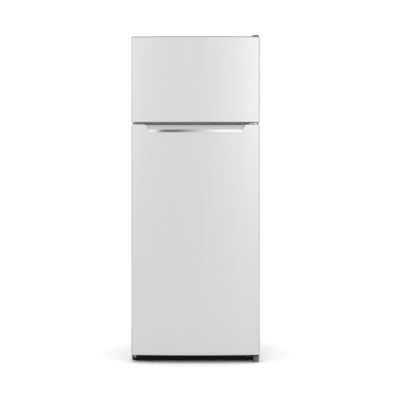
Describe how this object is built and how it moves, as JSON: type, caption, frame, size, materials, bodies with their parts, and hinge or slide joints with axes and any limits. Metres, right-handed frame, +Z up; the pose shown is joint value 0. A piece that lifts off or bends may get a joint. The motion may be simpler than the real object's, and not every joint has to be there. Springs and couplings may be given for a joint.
{
  "type": "top freezer refrigerator",
  "caption": "Free-standing refrigerator with a freezer compartment above, bowed hinged doors, a recessed handle pocket, shelves, door bins and a crisper drawer.",
  "frame": {"origin": "on the floor, under the middle of the overall box", "axes": "+Z up, doors face -Y, door hinges on the +X side"},
  "size_m": [0.55, 0.57, 1.406],
  "materials": {
    "cabinet_paint": "satin light grey paint",
    "door_steel": "satin silver coated steel",
    "door_cap_plastic": "satin grey",
    "bright_trim": "polished",
    "base_black": "satin black",
    "zinc_steel": "zinc coated",
    "rail_paint": "satin grey paint",
    "back_paint": "dull grey",
    "insulation_foam": "matt",
    "liner_plastic": "gloss white",
    "inner_trim_plastic": "satin white",
    "clear_plastic": "clear, slightly blue",
    "shelf_glass": "clear",
    "seal_rubber": "matt grey",
    "mount_rubber": "matt black",
    "black_plastic": "satin black",
    "hinge_cover_plastic": "satin dark grey",
    "hinge_steel": "plated",
    "compressor_black": "black enamel",
    "copper_tube": "bright copper",
    "condenser_black": "satin black",
    "coil_aluminium": "mill finish",
    "wire_white": "white coating",
    "foot_steel": "plated"
  },
  "bodies": {
    "cabinet": {"outer_shell": "cabinet_paint", "back_panel": "back_paint", "bottom_plate": "zinc_steel", "cabinet_foam": "insulation_foam", "freezer_liner": "liner_plastic", "fridge_liner": "liner_plastic", "centre_rail": "rail_paint", "base_rail": "base_black", "compressor_plate": "zinc_steel", "compressor": "compressor_black", "compressor_mounts": "mount_rubber", "relay_cover": "black_plastic", "drip_tray": "inner_trim_plastic", "refrigerant_pipes": "copper_tube", "filter_drier": "copper_tube", "condenser_tube": "condenser_black", "condenser_brackets": "black_plastic", "top_hinge": "hinge_steel", "top_hinge_cover": "hinge_cover_plastic", "middle_hinge": "hinge_steel", "bottom_hinge": "base_black", "hinge_screws": "hinge_steel", "freezer_shelf": "wire_white", "evaporator_cover": "inner_trim_plastic", "evaporator_coil": "coil_aluminium", "fan_motor": "black_plastic", "glass_shelves": "shelf_glass", "shelf_trims": "inner_trim_plastic", "crisper_cover": "shelf_glass", "thermostat_housing": "inner_trim_plastic", "light_switch_housing": "inner_trim_plastic", "lamp_lens": "clear_plastic", "lamp_bulb": "shelf_glass", "air_duct": "inner_trim_plastic"},
    "freezer_door": {"freezer_door_skin": "door_steel", "freezer_door_foam": "insulation_foam", "freezer_door_liner": "liner_plastic", "freezer_door_top_cap": "door_cap_plastic", "freezer_door_bottom_cap": "door_cap_plastic", "freezer_door_gasket": "seal_rubber", "freezer_door_bushes": "black_plastic", "freezer_door_bins": "clear_plastic"},
    "fridge_door": {"fridge_door_skin": "door_steel", "fridge_door_foam": "insulation_foam", "fridge_door_liner": "liner_plastic", "fridge_door_top_cap": "door_cap_plastic", "handle_trim": "bright_trim", "fridge_door_bottom_cap": "door_cap_plastic", "fridge_door_gasket": "seal_rubber", "fridge_door_bushes": "black_plastic", "fridge_door_bins": "clear_plastic", "bottle_bin": "clear_plastic"},
    "crisper": {"crisper_drawer": "clear_plastic"},
    "knob": {"thermostat_knob": "inner_trim_plastic"},
    "switch_plunger": {"light_switch": "inner_trim_plastic"},
    "fan": {"fan_blade": "inner_trim_plastic"},
    "left_wheel": {"left_roller": "black_plastic"},
    "right_wheel": {"right_roller": "black_plastic"},
    "left_leveller": {"left_foot": "black_plastic"},
    "right_leveller": {"right_foot": "foot_steel"}
  },
  "joints": [
    {"name": "freezer_door_hinge", "type": "hinge", "parent": "cabinet", "child": "freezer_door", "pos_m": [0.255, -0.252, 1.2155], "axis": [0, 0, 1], "range_deg": [0, 130]},
    {"name": "fridge_door_hinge", "type": "hinge", "parent": "cabinet", "child": "fridge_door", "pos_m": [0.255, -0.252, 0.5265], "axis": [0, 0, 1], "range_deg": [0, 130]},
    {"name": "crisper_slide", "type": "slide", "parent": "cabinet", "child": "crisper", "axis": [0, -1, 0], "range_m": [0, 0.08]},
    {"name": "thermostat_knob_turn", "type": "hinge", "parent": "cabinet", "child": "knob", "pos_m": [-0.07, -0.118, 0.977], "axis": [0, -1, 0], "range_deg": [-130, 130]},
    {"name": "light_switch_press", "type": "slide", "parent": "cabinet", "child": "switch_plunger", "axis": [0, 1, 0], "range_m": [0, 0.004], "stiffness_N_per_m": 200},
    {"name": "fan_spin", "type": "hinge", "parent": "cabinet", "child": "fan", "pos_m": [0, 0.16, 1.27], "axis": [0, 1, 0], "continuous": true},
    {"name": "left_roller_spin", "type": "hinge", "parent": "cabinet", "child": "left_wheel", "pos_m": [-0.24, 0.225, 0.017], "axis": [1, 0, 0], "continuous": true},
    {"name": "right_roller_spin", "type": "hinge", "parent": "cabinet", "child": "right_wheel", "pos_m": [0.24, 0.225, 0.017], "axis": [1, 0, 0], "continuous": true},
    {"name": "left_foot_turn", "type": "hinge", "parent": "cabinet", "child": "left_leveller", "pos_m": [-0.25, -0.19, 0.01], "axis": [0, 0, 1], "continuous": true},
    {"name": "right_foot_turn", "type": "hinge", "parent": "cabinet", "child": "right_leveller", "pos_m": [0.26, -0.238, 0.01], "axis": [0, 0, 1], "continuous": true}
  ]
}
